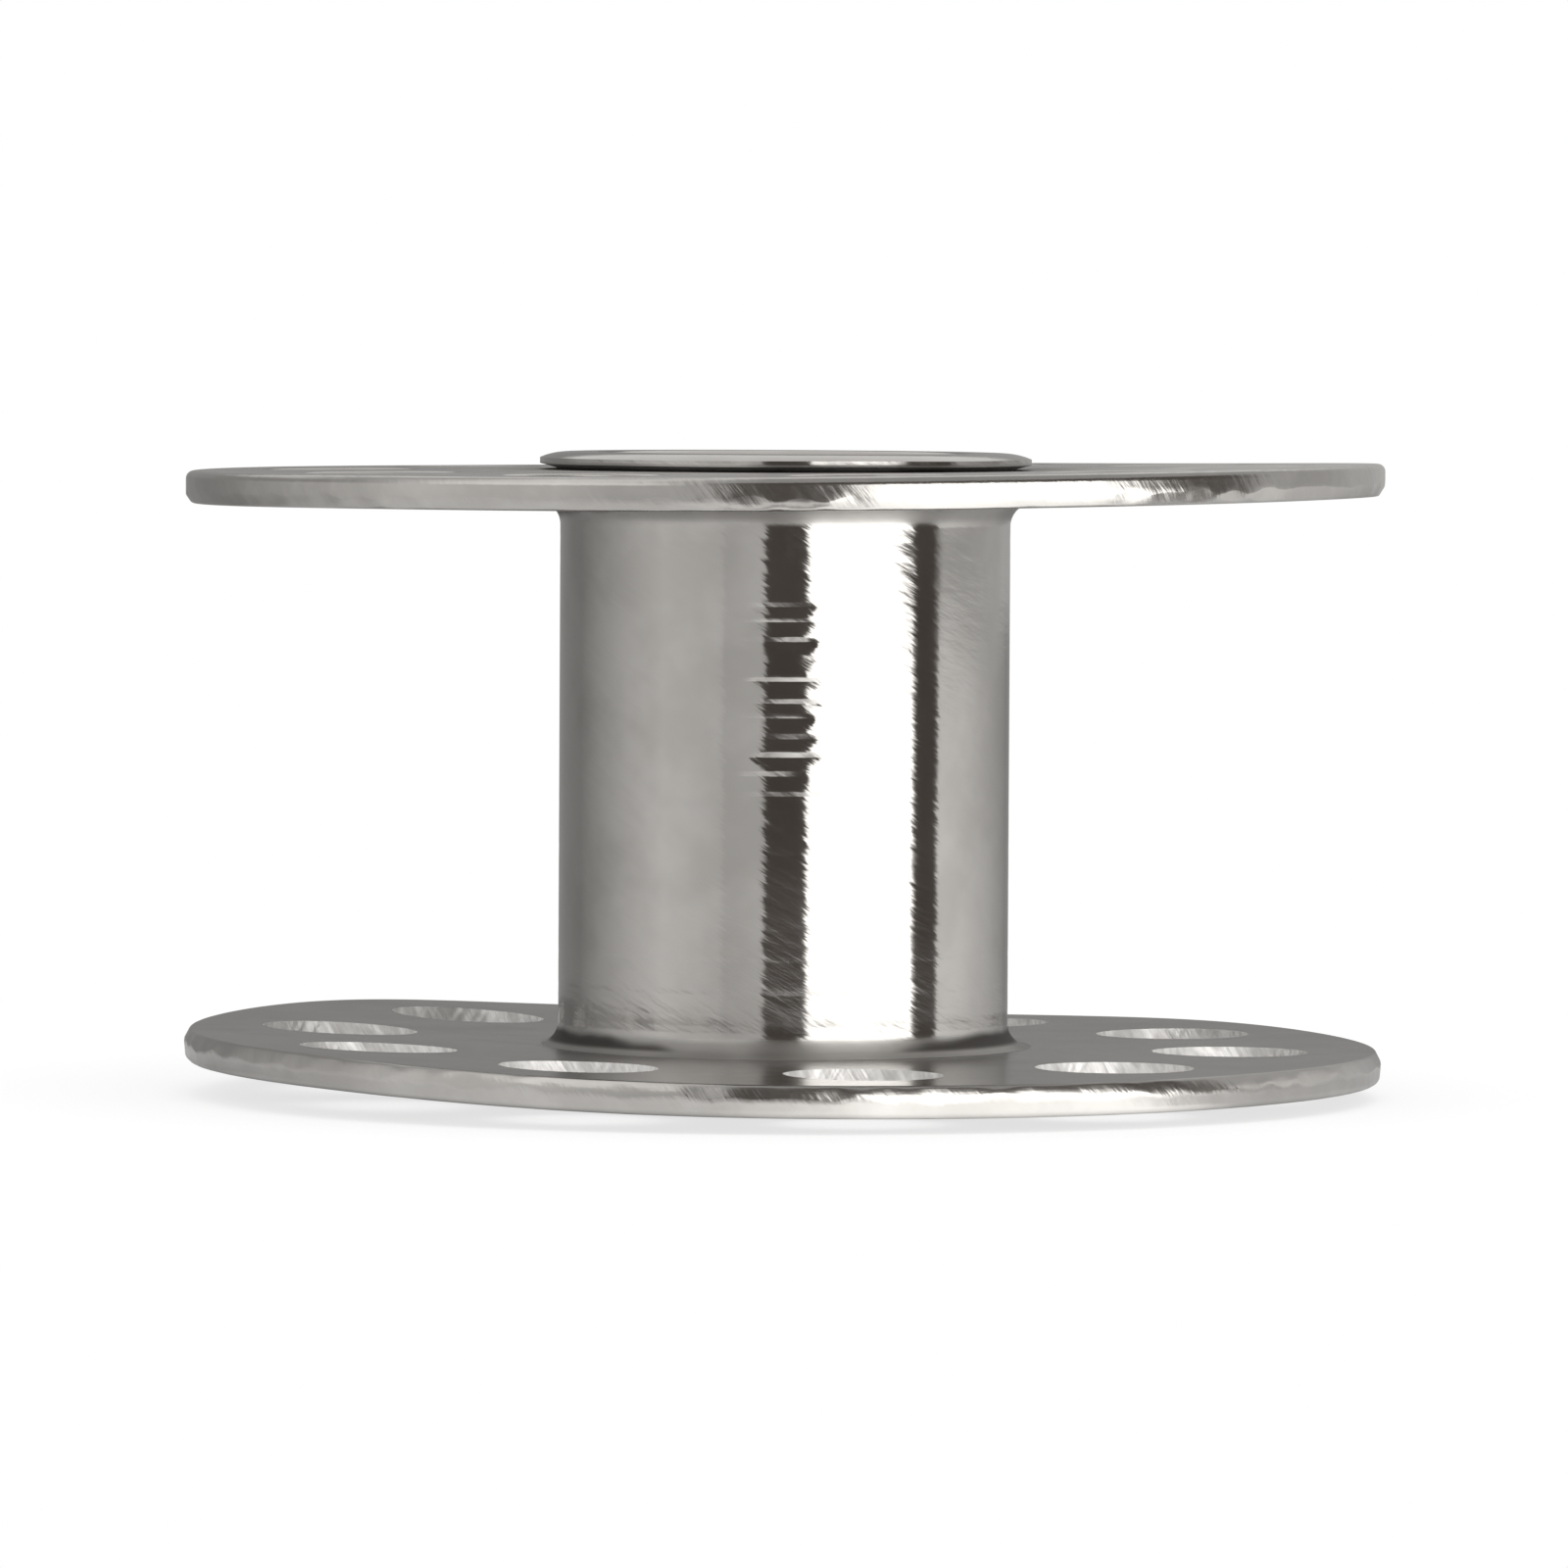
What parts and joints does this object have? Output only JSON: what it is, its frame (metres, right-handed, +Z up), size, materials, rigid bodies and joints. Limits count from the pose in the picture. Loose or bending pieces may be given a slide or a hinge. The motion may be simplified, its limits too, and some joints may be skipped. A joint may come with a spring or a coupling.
{
  "type": "sewing machine bobbin",
  "caption": "Plated metal thread bobbin: a turned core tube with a bore, and a punched disc flange held at each end by a rolled lip.",
  "frame": {"origin": "on the bore's axis, in the plane of the lower lip that the bobbin stands on", "axes": "+Z up along the bore's axis; the picture looks along +Y"},
  "size_m": [0.0205, 0.0204, 0.011],
  "materials": {
    "turned_plating": "satin",
    "sheet_plating": "satin"
  },
  "bodies": {
    "root": {"core_tube": "turned_plating", "lower_flange": "sheet_plating", "upper_flange": "sheet_plating"}
  },
  "joints": []
}
